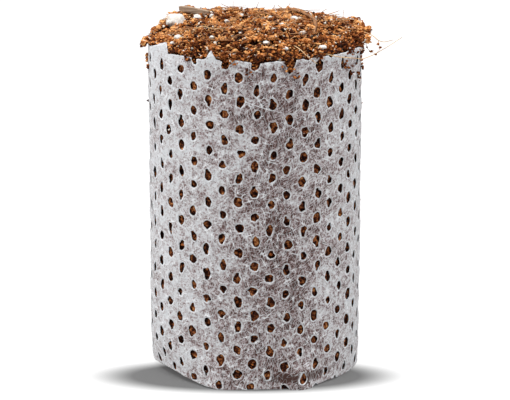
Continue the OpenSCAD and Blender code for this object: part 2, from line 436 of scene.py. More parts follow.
def hole_character(column, band):
    """The size, lean and shape of one hole, the same on every run."""
    chance = random.Random(1000 * column + band)
    return {
        "w": HOLE_HALF_W * chance.uniform(0.74, 1.14),
        "h": HOLE_HALF_H * chance.uniform(0.76, 1.18),
        "lean": chance.gauss(0, 0.22),
        "point": chance.uniform(0, 0.5),
        "point_at": chance.choice((-90, -90, -70, -110, 90, 75, 105)),
        "shift": Vector((chance.gauss(0, 0.26), chance.gauss(0, 0.2))) * MM,
        "rough": [chance.uniform(0.86, 1.12) for _ in range(RIM_POINTS)],
        "tear": TEAR_SPREAD.get(column + FIRST_COLUMN, 0),
    }


def hole_point(hole, angle, grow):
    """A point of the hole's edge in this direction: an oval drawn to a point on one side."""
    turn = math.radians(angle)
    towards = max(0, math.cos(turn - math.radians(hole["point_at"])))
    waist = 1 - hole["point"] * 4 * towards * (1 - towards)
    rough = hole["rough"][round(angle / RIM_STEP) % RIM_POINTS]
    across = (hole["w"] * waist * rough + grow) * math.cos(turn)
    flat = Vector((across, (hole["h"] * rough + grow) * math.sin(turn)))
    flat.rotate(Matrix.Rotation(hole["lean"], 2))
    return flat


print(f"a hole is about {2 * HOLE_HALF_W / MM:.1f} by {2 * HOLE_HALF_H / MM:.1f} mm")

# %% [markdown]
# To move a point we need the hole that it belongs to. A point may lie on the line between
# two blocks, so the search looks a little to every side of it.

# %% Which hole a grid point belongs to
def rim_angle(x, y):
    """The direction of a rim point, spread evenly over the twelve points."""
    if x == 0:
        return math.copysign(90, y)
    return RIM_STEP * y if x > 0 else 180 - RIM_STEP * y


def nearest_hole(across, up):
    """The hole block that this grid point belongs to, if there is one."""
    for dx in (-0.01, 0.01):
        for dy in (-0.01, 0.01):
            column, band, x, y = block_of(across + dx, up + dy)
            if is_hole(column, band):
                return column, band, round(x), round(y)
            if is_torn(column, band - 1):
                return column, band - 1, round(x), round(y) + BLOCK
    return None


print(f"the points of a hole's edge are {RIM_STEP:.0f} degrees apart")

# %% [markdown]
# A point on the edge of a hole goes on to the uneven oval, and the next ring of points
# follows it part of the way. Above a hole that is torn open, points stand aside for the
# tear. How near a point is to a hole goes into the lip attribute, which later lifts and
# whitens the raised fibres.

# %% Moving the grid points
WIDEST_TEAR = 1.75 * MM
TEAR_RING = 0.35 * MM
RING_OUT = 0.5 * MM
RING_PULL = 0.6
RING_LIP = 0.3


def shaped_place(across, up):
    """The flat place of a grid point and how much it belongs to a lip."""
    target = flat_place(across, up)
    found = nearest_hole(across, up)
    if not found or abs(found[2]) > 2 or found[3] < -3:
        return target, 0
    column, band, x, y = found
    hole = hole_character(column, band)
    middle = middle_of(column, band) + hole["shift"]
    if y > 0 and is_torn(column, band):
        width = min(hole["w"] + hole["tear"] * max(0, target.y - middle.y), WIDEST_TEAR)
        width += (abs(x) - 1) * TEAR_RING
        place = Vector((middle.x + math.copysign(width, x), target.y))
        return place, 1 if abs(x) < 2 else RING_LIP
    if abs(x) <= 1 and abs(y) <= 2:
        return middle + hole_point(hole, rim_angle(x, y), 0), 1
    if y > 3:
        return target, 0
    angle = math.degrees(math.atan2(y * ROW_STEP, x * column_w))
    return target.lerp(middle + hole_point(hole, angle, RING_OUT), RING_PULL), RING_LIP


def shape_holes(bm):
    lip = bm.verts.layers.float.new("lip")
    for vert in bm.verts:
        place, vert[lip] = shaped_place(round(vert.co.x), round(vert.co.y))
        vert.co = (*place, 0)


shape_holes(strip)
print(f"{len(strip.verts)} points moved from the grid to the paper")

# %% [markdown]
# ## Cutting the web to length
# The knife goes through paper and holes alike, so the rim and the foot get open notches
# wherever the cut meets a hole. `bisect_plane` is that knife.

# %% Cut
def cut_to_length(bm):
    for height, normal in ((0, (0, -1, 0)), (sleeve_h, (0, 1, 0))):
        everything = bm.verts[:] + bm.edges[:] + bm.faces[:]
        bmesh.ops.bisect_plane(bm, geom=everything, dist=1e-7, plane_co=(0, height, 0),
                               plane_no=normal, clear_outer=True)


cut_to_length(strip)
flat_area = sum(face.calc_area() for face in strip.faces)
print(f"cut strip: {len(strip.faces)} faces, {flat_area * 1e4:.1f} square centimetres of paper")

# %% [markdown]
# ## Rolling the strip round the medium
# The strip is rolled so that its end climbs over its start at the back. A cloth
# simulation could drape it, but a rule for the radius is steadier and the holes keep
# their places. The paper is slack and damp, so it waves a little, has a crease at the
# right, and its rim bends. Its foot is crushed, and stands out in two soft corners at the
# front. The rows below give a bump's size in millimetres, its degrees round from the
# front and its spread.

# %% Radius of the rolled paper
LAP_START = (FIRST_COLUMN - 0.5) * column_angle + 360
LAP_CLIMB = 1.15 * PAPER_T
CLIMB_START = LAP_START - 10
CLIMB_SPAN = 9
CREASES = ((0.4, 61.5, 1.6),)
CREASE_MIDDLE = 30 * MM
CREASE_REACH = 18 * MM
RIM_BENDS = ((-0.5, -62, 8), (0.5, 60, 20))
RIM_REACH = 5 * MM
FOOT_CORNERS = ((0.9, -22, 9), (2.2, 25, 8))
FOOT_FACETS = ((1.6, -58, 26), (0.8, 62, 22), (0.5, 150, 40))
FOOT_REACH = 6 * MM


def rolled_radius(degrees, height):
    point = round_pot(degrees, sleeve_r, height)
    climb = clamp((degrees - CLIMB_START) / CLIMB_SPAN)
    slack = waves(point, (0.2, 22 * MM, 1), (0.1, 7 * MM, 2), (0.05, 3 * MM, 3))
    crease = bumps(degrees, CREASES) * bell(height, CREASE_MIDDLE, CREASE_REACH)
    rim = 0.4 * wave((degrees / 20, 0, 0), 1, 5) + bumps(degrees, RIM_BENDS)
    foot = bumps(degrees, FOOT_CORNERS) - bumps(degrees, FOOT_FACETS)
    ends = rim * bell(height, sleeve_h, RIM_REACH) + foot * bell(height, 0, FOOT_REACH)
    return sleeve_r + climb * LAP_CLIMB + (slack + crease + ends) * MM


print(f"at the front the paper's foot is {rolled_radius(0, 0) / MM:.2f} mm from the axis")

# %% [markdown]
# The height of a point changes too: the crushed foot lifts off the table here and there,
# the rim is frayed, one peak stands up at the front, and at the left a flap rises towards
# the slit.

# %% Height on the rolled paper
FOOT_LIFTS = ((1.9, -58, 26), (0.5, 4, 14), (0.5, 44, 10), (0.8, -110, 30), (0.6, 130, 30))
LIFT_FADE = 7 * MM
RIM_FRAYS = ((0.6, 54, 14), (-0.5, 2, 6))
FRAY_REACH = 2.4 * MM
RIM_PEAKS = ((2.6, -23.6, 1.8),)
PEAK_REACH = 0.9 * MM
SLIT_DEGREES = (SLIT_AT / BLOCK - 0.5 + FIRST_COLUMN) * column_angle
FLAP_H = 3
FLAP_START = -82
FLAP_SPAN = 26
FLAP_BEND = 1.4


def foot_lift(degrees, height):
    return bumps(degrees, FOOT_LIFTS) * MM * math.exp(-height / LIFT_FADE)


def rolled_height(degrees, height):
    arc = math.radians(degrees) * sleeve_r
    fray = waves((arc, 0, 0), (0.25, 1.2 * MM, 8), (0.35, 6 * MM, 9)) + bumps(degrees, RIM_FRAYS)
    peaks = bumps(degrees, RIM_PEAKS)
    if degrees < SLIT_DEGREES:
        peaks += FLAP_H * clamp((degrees - FLAP_START) / FLAP_SPAN) ** FLAP_BEND
    lift = fray * bell(height, sleeve_h, FRAY_REACH) + peaks * bell(height, sleeve_h, PEAK_REACH)
    return height + foot_lift(degrees, height) + lift * MM


print(f"the foot lifts {foot_lift(-58, 0) / MM:.1f} mm at the left")

# %% [markdown]
# While the strip is flat, its third coordinate is free, so it holds the new height for a
# moment. That height and the arc length become the texture map, so fibres follow the
# paper without being stretched. Then every point goes to its place round the pot.

# %% Roll
MAP_SCALE = 10
LIP_RISE = 0.16 * MM


def roll(bm):
    lip = bm.verts.layers.float["lip"]
    uv = bm.loops.layers.uv.new("strip")
    for vert in bm.verts:
        vert.co.z = rolled_height(math.degrees(vert.co.x / sleeve_r), vert.co.y)
    for face in bm.faces:
        for loop in face.loops:
            loop[uv].uv = loop.vert.co.xz * MAP_SCALE
    for vert in bm.verts:
        degrees = math.degrees(vert.co.x / sleeve_r)
        radius = rolled_radius(degrees, vert.co.y) + LIP_RISE * vert[lip]
        vert.co = round_pot(degrees, radius, vert.co.z)


roll(strip)
print(f"strip rolled, lap {LAP_START:.0f} degrees round at the back")

# %% [markdown]
# ## The look of nonwoven paper
# Seen close, the sheet is a felt of pale fibres. Real strands would be far too many, so
# each layer of fibres is the contour line of stretched, turned grain: a thin winding
# line where the grain passes through its middle value.

# %% Pale fibres
FIBRE_STRETCH = (22, 75, 1)
FIBRE_TURNS = ((1.25, 3.7), (1.9, 7.4), (0.5, 11.1))
FIBRE_WIDTH = 0.022


def fibre_streaks(tree, uv):
    total = None
    for turn, shift in FIBRE_TURNS:
        hills = grain_texture(tree, stretched(tree, uv, FIBRE_STRETCH, turn, shift), 1, 0)
        line = sums(tree, "ABSOLUTE", sums(tree, "SUBTRACT", hills, 0.5), 0)
        fibre = soft_mask(tree, line, FIBRE_WIDTH, 0)
        total = fibre if total is None else sums(tree, "MAXIMUM", total, fibre)
    return total


print(f"{len(FIBRE_TURNS)} layers of fibres")

# %% [markdown]
# Where the felt is thin, the dark wet medium shows through as purplish specks. A fine and
# a coarse grain say where it is thin, and a slow one with the stain_and_shade attribute says
# where the damp has come through and where shade is painted. The pale fibres lie over it
# all, but not where the paper is soaked, and the torn lips of the holes are as pale as they
# are.

# %% Paper material
FELT = ((0, (0.605, 0.62, 0.64)), (0.25, (0.475, 0.452, 0.462)), (0.5, (0.322, 0.267, 0.27)),
        (0.75, (0.166, 0.107, 0.103)), (1, (0.055, 0.027, 0.022)))
PALE_FIBRE = (0.73, 0.745, 0.765)
FIBRE_STRENGTH = 0.9


def paper_material():
    material, tree, shader = new_material("nonwoven_paper")
    uv = coordinates(tree, "UV")
    fine = grain_texture(tree, uv, 190, 3, 0.65, 0.4)
    coarse = grain_texture(tree, uv, 70, 2, 0.5, 0.6)
    slow = grain_texture(tree, uv, 12, 2)
    stain_and_shade = attribute(tree, "stain_and_shade")
    thin = blend(tree, (0.62, 0.42, 0.36, 0.16), fine, coarse, slow, stain_and_shade)
    felt = colours(tree, soft_mask(tree, thin, 0.615, 0.935), *FELT)
    dry = soft_mask(tree, stain_and_shade, 3.2, 0.8)
    fibres = sums(tree, "MULTIPLY", fibre_streaks(tree, uv), dry)
    pale = sums(tree, "MULTIPLY", fibres, FIBRE_STRENGTH)
    lips = soft_mask(tree, attribute(tree, "lip"), 0.25, 0.9)
    lips = sums(tree, "MULTIPLY", lips, soft_mask(tree, coarse, 0.25, 0.65))
    colour = mix_colour(tree, sums(tree, "MAXIMUM", pale, lips), felt, PALE_FIBRE)
    shader.inputs["Sheen Weight"].default_value = 0.3
    shader.inputs["Sheen Roughness"].default_value = 0.4
    finish_shader(tree, shader, colour, 0.85, sums(tree, "ADD", fine, pale), 0.1 * MM, 0.2)
    return material


paper = paper_material()
print(f"paper material: {len(paper.node_tree.nodes)} nodes")

# %% [markdown]
# ## Where the damp shows, with painted shade
# The stain_and_shade attribute is painted per point from the pot's own shape: darker down
# the front, partly a stain where the medium presses on the paper and partly painted shade
# that leaves the sides paler, in a soaked band near the foot, and nearly nothing at the
# sides. The rim has nothing damp behind it, so it is the palest.

# %% Stains
def paint_stain_and_shade(bm):
    stain_and_shade = bm.verts.layers.float.new("stain_and_shade")
    for vert in bm.verts:
        degrees, height = degrees_of(vert.co), vert.co.z / sleeve_h
        patch = 0.5 + 0.5 * wave(vert.co, 12 * MM, 21)
        # partly painted shade: the front is darker than the sides, on top of the stain where the medium
        # presses
        front = bell(degrees, 12, 38) * (0.5 + 0.3 * patch)
        blotch = 0.4 * bell(degrees, 14, 16) * bell(height, 0.55, 0.3) * patch
        low = 0.2 * bell(degrees, 8, 36) * bell(height, 0.08, 0.16)
        band = 2.3 * bell(degrees, 25, 16) * bell(height, 0.037, 0.012)
        band *= 1 + 0.5 * wave(vert.co, 3 * MM, 22)
        pale_rim = clamp((height - 0.98) / 0.03)
        vert[stain_and_shade] = clamp(front + blotch) + low + band - pale_rim


paint_stain_and_shade(strip)
print("stains painted on the strip")

# %% [markdown]
# The sleeve is one thin sheet, so its thickness is a Solidify modifier that grows
# inwards.

# %% The finished sleeve
sleeve = make_piece("perforated_sleeve", strip, paper, "nonwoven_paper", "paper_sleeve")
thickness = sleeve.modifiers.new("paper thickness", "SOLIDIFY")
thickness.thickness = PAPER_T
thickness.offset = -1

# %% [markdown]
# ## The pressed medium behind the paper
# Through every hole a little of the plug shows: orange crumbs with black gaps between
# them. A finely divided cylinder is pushed in by noise, and stays clear of the paper. How
# deep a point lies goes into an attribute, which darkens the gaps as painted shade.

# %% Plug
PLUG_SIDES = 360
PLUG_RINGS = 190
PLUG_CLEAR = 0.08 * MM
PLUG_RELIEF = 0.9 * MM
DAMP_AND_SHADE = ((0, (0.012, 0.003, 0.0025)), (0.35, (0.095, 0.024, 0.009)),
        (0.65, (0.35, 0.113, 0.034)), (1, (0.68, 0.33, 0.12)))


def plug_mesh():
    bm = bmesh.new()
    low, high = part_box("growing_medium")
    depth = high.z - low.z
    bmesh.ops.create_cone(bm, cap_ends=True, segments=PLUG_SIDES, radius1=high.x, radius2=high.x,
                          depth=depth, matrix=Matrix.Translation((0, 0, depth / 2)))
    walls = [edge for edge in bm.edges if abs(edge.verts[0].co.z - edge.verts[1].co.z) > depth / 2]
    bmesh.ops.subdivide_edges(bm, edges=walls, cuts=PLUG_RINGS, use_grid_fill=True)
    deep = bm.verts.layers.float.new("deep")
    for vert in bm.verts:
        hollow = clamp(0.3 + waves(vert.co, (0.6, 1.4 * MM, 31), (0.35, 0.7 * MM, 32)))
        vert[deep] = hollow
        degrees = degrees_of(vert.co)
        radius = rolled_radius(degrees, vert.co.z) - PAPER_T - PLUG_CLEAR - PLUG_RELIEF * hollow
        vert.co = round_pot(degrees, radius, vert.co.z + foot_lift(degrees, vert.co.z))
    return bm


def plug_material():
    material, tree, shader = new_material("pressed_medium")
    fine = grain_texture(tree, coordinates(tree, "Object"), 1400, 4, 0.7)
    # painted shade: the deep attribute darkens the hollows of the plug
    tone = blend(tree, (3, -1.1), sums(tree, "SUBTRACT", fine, 0.295), attribute(tree, "deep"))
    finish_shader(tree, shader, colours(tree, tone, *DAMP_AND_SHADE), 0.75, fine, 0.5 * MM, 0.1)
    return material


make_piece("pressed_plug", plug_mesh(), plug_material(), "pressed_medium", "growing_medium")

# %% [markdown]
# ## The heap of loose crumbs
# Above the rim the medium is loose. A low dome carries it, and thousands of crumbs are
# strewn over the dome. A particle system could do that, but a rule for the dome's height
# lets every loose piece sit on it. The dome is banked up at the back and the sides.

# %% Shape of the heap
HEAP_H = 5.7 * MM
HEAP_POWER = 5
HEAP_EDGE = 1.4
HEAP_BANKS = ((-2.4, 0, 66), (2.2, 106, 34), (3, -132, 24))
BACK_BANK = 1.6 * MM
BACK_HUMP = Vector((-7, 15, 0)) * MM
BACK_HUMP_H = 1.4
BACK_HUMP_R = 8 * MM
heap_r = sleeve_r - 0.5 * MM


def heap_height(place):
    """Height of the dome under the crumbs, with its banks and its slow humps."""
    degrees = degrees_of(place)
    out = min(1, place.xy.length / heap_r)
    bank = (HEAP_EDGE + bumps(degrees, HEAP_BANKS)) * MM + BACK_BANK * bell(abs(degrees), 180, 50)
    power = HEAP_POWER - 3 * bell(degrees, -80, 26)
    rise = bank + (HEAP_H - bank) * (1 - out ** power)
    flat = Vector((place.x, place.y, 0))
    humps = waves(flat, (0.8, 11 * MM, 41), (0.8, 5 * MM, 42), (0.5, 2.6 * MM, 45))
    humps += BACK_HUMP_H * bell((flat - BACK_HUMP).length, 0, BACK_HUMP_R)
    return sleeve_h + rise + humps * MM * (1 - 0.6 * out)


print(f"the heap is {(heap_height(Vector()) - sleeve_h) / MM:.1f} mm high in its middle")

# %% [markdown]
# The dome is a grid whose corners are cut off. It gets small relief of its own, painted
# shade that darkens its hollows and its edge, a skirt down into the sleeve that is painted
# dark as shade, and it is kept inside the paper.

# %% Dome
DOME_STEPS = 130
DOME_EDGE = 0.3 * MM
DOME_CLEAR = 0.8 * MM
SKIRT_DEPTH = 2.5 * MM
SKIRT_SHADE_TONE = 0.05


def dome_mesh():
    bm = bmesh.new()
    bmesh.ops.create_grid(bm, x_segments=DOME_STEPS, y_segments=DOME_STEPS, size=heap_r)
    outside = [face for face in bm.faces if face.calc_center_median().length > heap_r - DOME_EDGE]
    bmesh.ops.delete(bm, geom=outside, context="FACES")
    tone = bm.verts.layers.float.new("tone")
    for vert in bm.verts:
        relief = waves((vert.co.x, vert.co.y, 0), (0.6, 1.6 * MM, 43), (0.4, 0.8 * MM, 44))
        # painted shade: darker in the hollows of the relief and towards the edge of the dome
        vert[tone] = clamp(0.2 + 0.5 * relief) * (1 - (vert.co.length / heap_r) ** 8)
        vert.co.z = heap_height(vert.co) + (1.4 * relief - 0.9) * MM
    rim = [edge for edge in bm.edges if edge.is_boundary]
    skirt = bmesh.ops.extrude_edge_only(bm, edges=rim)
    for vert in [item for item in skirt["geom"] if isinstance(item, bmesh.types.BMVert)]:
        vert.co.z = sleeve_h - SKIRT_DEPTH
        # painted shade: the skirt down in the gap is nearly black
        vert[tone] = SKIRT_SHADE_TONE
    for vert in bm.verts:
        degrees, height = degrees_of(vert.co), vert.co.z
        inside = rolled_radius(degrees, height) - PAPER_T - DOME_CLEAR
        if vert.co.xy.length > inside:
            vert.co = round_pot(degrees, inside, height)
    return bm


heap = dome_mesh()
print(f"dome of {len(heap.faces)} faces")

# %% [markdown]
# Each crumb is one `create_icosphere` call, whose matrix gives it a place, a turn and a
# squash. Its twelve corners are then pulled about. A tone for each crumb keeps the
# heap from looking like one colour, and crumbs that lie low behind the front and the right
# of the rim get painted shade: their tone is made darker.

# %% One crumb
DARK_EDGE = ((0.26, -5, 70), (0.35, 62, 22))


# painted shade: crumbs near the front and right edge of the heap are darkened
def painted_shade_factor(place):
    out = place.xy.length / heap_r
    return 1 - bumps(degrees_of(place), DARK_EDGE) * clamp((out - 0.87) / 0.09)


def add_ball(bm, place, size, turn, shape, detail):
    """Adds a turned and squashed icosphere, and gives back its points."""
    pose = Matrix.Translation(place) @ turn @ Matrix.Diagonal((*shape, 1))
    ball = bmesh.ops.create_icosphere(bm, subdivisions=detail, radius=size / 2, matrix=pose)
    return ball["verts"]


def add_crumb(bm, tone_layer, place, size, tone, chance):
    shape = chance.uniform(0.9, 1.7), chance.uniform(0.7, 1), chance.uniform(0.6, 0.9)
    turn = (Matrix.Rotation(chance.uniform(0, math.tau), 4, "Z")
            @ Matrix.Rotation(chance.gauss(0, 0.35), 4, "Y"))
    for vert in add_ball(bm, place, size, turn, shape, 1):
        vert.co = place + (vert.co - place) * chance.uniform(0.6, 1.3)
        vert[tone_layer] = tone * chance.uniform(0.7, 1.25) * painted_shade_factor(place)


print(f"a crumb at the front of the rim gets {painted_shade_factor(round_pot(0, heap_r, 0)):.2f} of its tone")

# %% [markdown]
# The crumbs are made in small batches, because an operator walks through the whole mesh
# that it works on. They are strewn by area over the dome, kept inside the rim at the
# front, and the last layer lies along the front edge only. A row of the layers is what
# `strewn` takes, and `yield` hands the crumbs out one by one, each with its place, size
# and tone.

# %% Many crumbs
BATCH = 60
# painted shade: the lower layers, which lie deep among the other crumbs, get darker tones
LAYERS = (
    (260, (1.4, 2.6), (0.05, 0.4), 51, (-0.8, 0.1)),
    (2300, (0.7, 1.3), (-0.1, 0.68), 52, (-0.5, 0.5)),
    (3000, (0.35, 0.75), (0.05, 0.95), 53, (-0.2, 0.9)),
    (900, (0.5, 1.2), (0.15, 0.95), 54, (-0.4, 0.9), 85, 0.74),
)


def add_crumbs(bm, crumbs, seed):
    chance = random.Random(seed)
    crumbs = list(crumbs)
    for start in range(0, len(crumbs), BATCH):
        batch = bmesh.new()
        tone_layer = batch.verts.layers.float.new("tone")
        for place, size, tone in crumbs[start:start + BATCH]:
            add_crumb(batch, tone_layer, place, size, tone, chance)
        mesh = bpy.data.meshes.new("batch")
        batch.to_mesh(mesh)
        batch.free()
        bm.from_mesh(mesh)
        bpy.data.meshes.remove(mesh)


def strewn(count, sizes, tones, seed, lift, spread=180, inner=0):
    chance = random.Random(seed)
    for _ in range(count):
        degrees, size = chance.uniform(-spread, spread), chance.uniform(*sizes) * MM
        reach = heap_r + 0.6 * MM - (0.6 * MM + size * 0.9) * bell(degrees, 0, 110)
        place = round_pot(degrees, reach * math.sqrt(chance.uniform(inner, 1)), 0)
        place.z = heap_height(place) + chance.uniform(*lift) * MM
        yield place, size, chance.uniform(*tones)


for layer in LAYERS:
    add_crumbs(heap, strewn(*layer), 100 + layer[3])
    print(f"{layer[0]} crumbs of {layer[1][0]} to {layer[1][1]} mm")

# %% [markdown]
# The colour of a crumb runs from black brown to straw. The tone decides, with a fine
# grain inside the crumb and a slow one over the heap. Specks of perlite dust lie on some.
# The faces stay flat, because crumbs are crisp.

# %% Crumb material and the heap
LOOSE = ((0, (0.013, 0.003, 0.0015)), (0.35, (0.125, 0.029, 0.007)),
         (0.65, (0.51, 0.168, 0.04)), (1, (0.87, 0.47, 0.185)))
PERLITE_DUST = (0.82, 0.76, 0.66)


def crumb_material(name):
    material, tree, shader = new_material(name)
    place = coordinates(tree, "Object")
    fine = grain_texture(tree, place, 2000, 4, 0.7)
    patch = grain_texture(tree, place, 240, 2)
    # the tone attribute carries each crumb's own tone together with the painted shade and light given to
    # it where it lies
    tone = blend(tree, (1.28, 1.15, 0.6), attribute(tree, "tone"), fine, patch)
    loose = colours(tree, sums(tree, "SUBTRACT", tone, 0.94), *LOOSE)
    dust = soft_mask(tree, grain_texture(tree, place, 800, 0), 0.71, 0.77)
    dusty = mix_colour(tree, dust, loose, PERLITE_DUST)
    finish_shader(tree, shader, dusty, 0.8, fine, 0.35 * MM, 0.1)
    return material


make_piece("loose_heap", heap, crumb_material("loose_crumbs"), "loose_crumbs", "crumb_heap", smooth=False)

# %% [markdown]
# The heap isn't even: clumps hang over the rim on the left and, more, on the right. A
# clump is a ball of crumbs, given as degrees round, distance out and height over the rim
# in millimetres, its reach and its count.

# %% Overhanging clumps
CLUMPS = (
    (92, 30, 3.2, 3, 140), (104, 28.5, 4, 3.4, 140), (78, 29.6, 2.4, 2.6, 110),
    (85, 31, 1.5, 1.8, 60), (-86, 30, 1, 2, 100), (-80, 31.4, 0.6, 1.4, 40),
    (-104, 28.5, 2, 2.4, 100), (-119, 26.4, 5.4, 2.4, 110), (-132, 25.5, 6.2, 2.6, 110),
    (-97, 21.5, 4.4, 1.5, 26),
)


def any_way(chance, rise):
    """A random direction, flatter where the rise is small."""
    return Vector((chance.gauss(0, 1), chance.gauss(0, 1), chance.gauss(0, rise)))


def clump(degrees, radius, height, reach, count, seed):
    """Crumbs gathered round one place, none of them down in the paper."""
    chance = random.Random(seed)
    middle = round_pot(degrees, radius * MM, sleeve_h + height * MM)
    for _ in range(count):
        away = any_way(chance, 1).normalized() * reach * 0.9 * MM * chance.random() ** 0.6
        away.z *= 0.7
        size = chance.uniform(0.5, 1.6) * MM
        place = middle + away
        if place.z - size / 2 > sleeve_h + 0.1 * MM or place.xy.length > sleeve_r + size:
            yield place, size, chance.uniform(0.25, 0.95)


clods = bmesh.new()
clods.verts.layers.float.new("tone")
for number, sizes in enumerate(CLUMPS):
    add_crumbs(clods, clump(*sizes, 61 + number), 161 + number)
print(f"overhanging clumps: {len(clods.faces)} faces")

# %% [markdown]
# Damp crumbs also cling together in clods of two or three millimetres all over the
# heap, with dark gaps between them. A clod is a low mound of crumbs of one tone, with
# painted light that makes it paler on its top and painted shade that darkens its foot.

# %% Clods
def small_clods(count, seed):
    chance = random.Random(seed)
    for _ in range(count):
        degrees, reach = chance.uniform(-180, 180), chance.uniform(0.8, 2) * MM
        inside = heap_r - 0.4 * MM - reach * bell(degrees, 0, 110)
        middle = round_pot(degrees, inside * math.sqrt(chance.random()), 0)
        tone = chance.uniform(0.32, 0.95)
        for _ in range(round(22 * reach / MM)):
            away = Vector((chance.gauss(0, 0.45), chance.gauss(0, 0.45), 0))
            bulge = math.exp(-away.length_squared)
            place = middle + away * reach
            place.z = heap_height(middle) + reach * bulge * chance.uniform(0.3, 0.9)
            # painted light and shade: crumbs high on the clod get a paler tone, low ones a darker one
            yield place, chance.uniform(0.35, 0.9) * MM, tone * (0.4 + 0.75 * bulge)


add_crumbs(clods, small_clods(170, 71), 171)
print(f"with the clods: {len(clods.faces)} faces")

# %% [markdown]
# More crumbs lie right behind the rim of the paper, where they fill the torn holes. Some
# have run over the rim and lie against the paper. These spills are given as degrees
# round, a spread in degrees, millimetres down and a count.

# %% Rim crumbs and spills
SPILLS = ((17.5, 1.8, 3, 36), (62, 4, 1.4, 30), (-37, 2.2, 1.2, 16),
          (-12, 1.6, 1.2, 12), (80, 3, 1.8, 26), (36, 2, 1, 14))


def rim_crumbs(count, seed):
    chance = random.Random(seed)
    for _ in range(count):
        degrees, size = chance.uniform(-180, 180), chance.uniform(0.5, 1.2) * MM
        top = heap_height(round_pot(degrees, heap_r, 0)) + 0.6 * MM
        height = chance.uniform(sleeve_h - 3 * MM, max(top, sleeve_h + 1.6 * MM))
        tuck = 0.95 if rolled_height(degrees, sleeve_h) > height - 0.5 * MM else 0.3
        place = round_pot(degrees, rolled_radius(degrees, height) - PAPER_T - tuck * size, height)
        # painted shade: crumbs behind the rim get darker tones than the crumbs on top
        yield place, size, chance.uniform(0.1, 0.8)


def spilled(degrees, spread, down, count, seed):
    chance = random.Random(seed)
    for _ in range(count):
        turn, size = degrees + chance.gauss(0, spread), chance.uniform(0.4, 1) * MM
        height = rolled_height(turn, sleeve_h) + chance.uniform(-down, 0.6) * MM
        place = round_pot(turn, rolled_radius(turn, height) + 0.25 * size, height)
        yield place, size, chance.uniform(0.1, 0.8)


add_crumbs(clods, rim_crumbs(2200, 72), 172)
for number, sizes in enumerate(SPILLS):
    add_crumbs(clods, spilled(*sizes, 73 + number), 173 + number)
make_piece("heap_clods", clods, crumb_material("clod_crumbs"), "loose_crumbs", smooth=False)

# %% [markdown]
# ## Perlite
# Perlite is volcanic glass popped like corn: white, light and full of burst bubbles. An
# icosphere is pushed about by noise for a knobbly outline, and sits half sunk in the
# crumbs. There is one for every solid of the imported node, with its place and its size.

# %% Perlite granules
PERLITE = ((0.3, (0.55, 0.51, 0.44)), (0.6, (0.80, 0.79, 0.76)))
CRUMB_DUST = (0.34, 0.17, 0.07)
GRANULE_LIFT = 0.5 * MM
GRANULE_RISE = 0.04


def add_granule(bm, middle, size, seed):
    chance = random.Random(seed)
    shape = chance.uniform(0.9, 1.25), chance.uniform(0.75, 1), chance.uniform(0.65, 0.9)
    turn = Matrix.Rotation(chance.uniform(-0.6, 0.6), 4, "Z")
    for vert in add_ball(bm, middle, size, turn, shape, 3):
        knobs = waves(vert.co, (0.3, size * 0.3, seed), (0.15, size * 0.12, seed + 1))
        vert.co = middle + (vert.co - middle) * (0.95 + knobs)


def perlite_material():
    material, tree, shader = new_material("perlite")
    place = coordinates(tree, "Object")
    pits = grain_texture(tree, place, 1100, 3)
    dust = soft_mask(tree, grain_texture(tree, place, 420, 3), 0.56, 0.75)
    dusty = mix_colour(tree, dust, colours(tree, pits, *PERLITE), CRUMB_DUST)
    finish_shader(tree, shader, dusty, 0.7, pits, 0.3 * MM)
    return material


perlite = bmesh.new()
for number, (middle, size) in enumerate(granule_bits):
    middle.z = heap_height(middle) + size * GRANULE_RISE + GRANULE_LIFT
    add_granule(perlite, middle, size, 200 + number)
make_piece("perlite_grains", perlite, perlite_material(), "perlite", "perlite_granules")

# %% [markdown]
# ## Crumbs on the paper
# A few damp crumbs have rolled over the edge and stuck, most of them at the right. Each
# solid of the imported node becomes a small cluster. Some more dangle from two hairs, whose
# points are millimetres across, back and above the rim.

# %% Clinging crumbs
CLUSTER = 7
HANGING = (
    ((34.6, -3.2, 1.3), (34.5, -3.2, 0.2), (35, -3.3, -0.9), (33.8, -3.3, -2.7)),
    ((31, -1.5, 1.5), (31.4, -2.5, -0.9), (32.5, -3, -2), (33.8, -3.3, -2.7)),
)


def over_rim(x, y, z):
    return Vector((x * MM, y * MM, sleeve_h + z * MM))


stuck_crumbs = []
chance = random.Random(81)
for middle, size in crumb_bits:
    for _ in range(CLUSTER):
        degrees = degrees_of(middle) + chance.gauss(0, 1.3)
        place = round_pot(degrees, sleeve_r + 0.4 * MM, middle.z + chance.gauss(0, 0.3) * size)
        stuck_crumbs.append((place, chance.uniform(0.25, 0.55) * size, chance.uniform(0.2, 0.7)))
for hair in HANGING:
    for point in hair[1:]:
        size = chance.uniform(0.8, 1.3) * MM
        stuck_crumbs.append((over_rim(*point), size, chance.uniform(0.3, 0.7)))
print(f"{len(stuck_crumbs)} crumbs on the paper and on the hairs")

# %% [markdown]
# Here and there a crumb of the plug is pressed into a hole and fills it. About every sixth
# hole gets one, but none at the back or near the two cuts.

# %% Crumbs in the holes
FILLED_SHARE = 0.16

for column, band in hole_blocks:
    middle = middle_of(column, band) + hole_character(column, band)["shift"]
    degrees, height = math.degrees(middle.x / sleeve_r), middle.y
    in_view = 2 * MM < height < sleeve_h - 4 * MM and abs(degrees) < 150
    if in_view and chance.random() < FILLED_SHARE:
        place = round_pot(degrees, rolled_radius(degrees, height) - 0.2 * MM, height)
        stuck_crumbs.append((place, chance.uniform(0.8, 1.3) * MM, chance.uniform(0.1, 0.6)))
stuck = bmesh.new()
add_crumbs(stuck, stuck_crumbs, 181)
print(f"{len(stuck_crumbs)} crumbs with those in the holes")
make_piece("stuck_crumbs", stuck, crumb_material("stuck_crumbs"), "clinging_crumbs", "clinging_crumbs",
           smooth=False)

